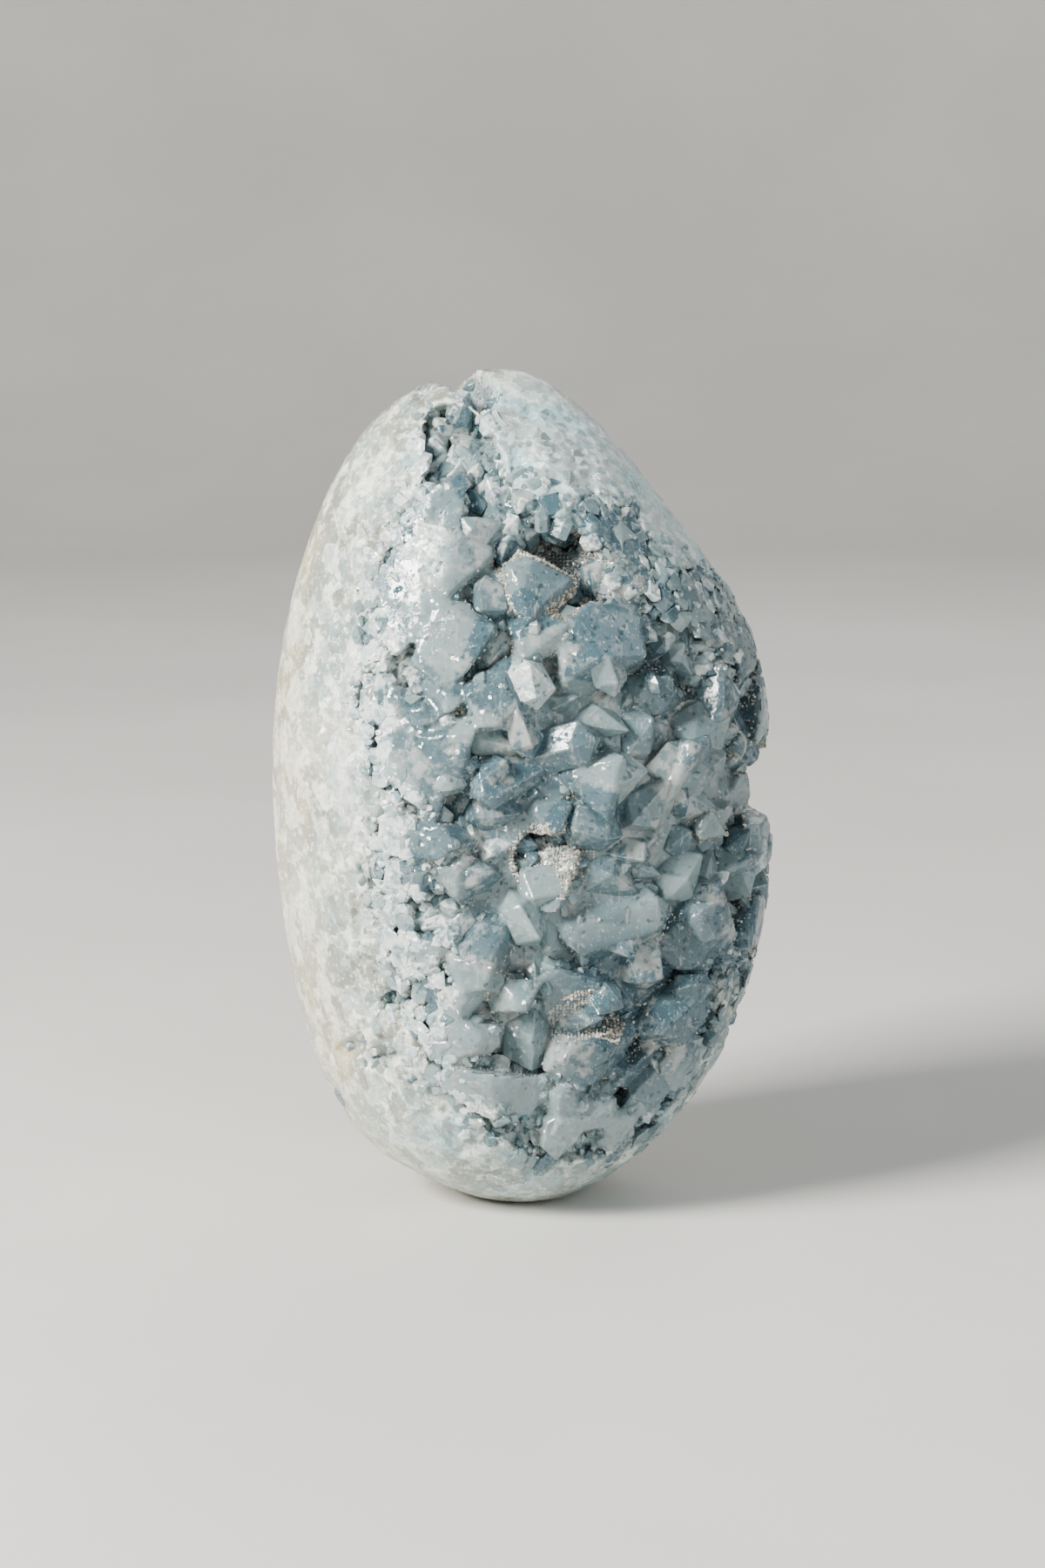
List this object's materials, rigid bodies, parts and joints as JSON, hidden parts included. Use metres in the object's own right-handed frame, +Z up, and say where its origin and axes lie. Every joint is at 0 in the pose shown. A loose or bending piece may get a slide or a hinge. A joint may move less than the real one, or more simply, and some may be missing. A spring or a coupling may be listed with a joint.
{
  "type": "celestite geode",
  "caption": "Egg-shaped polished stone that stands on a small flat spot, its front right side a hollow lined with a crust of translucent pale blue blocky crystals.",
  "frame": {"origin": "middle of the flat spot that the stone stands on", "axes": "+Z up along the egg's long axis; +X to the right and +Y away from a viewer who faces the crystals"},
  "size_m": [0.0722, 0.0612, 0.12],
  "materials": {
    "polished_stone": "ground and polished, mottled white, grey and pale blue with beige towards the rind",
    "celestite_crystal": "clear to milky grey-blue crystal faces with frosted patches"
  },
  "bodies": {
    "root": {"geode_stone": "polished_stone", "crystal_crust": "celestite_crystal"}
  },
  "joints": []
}
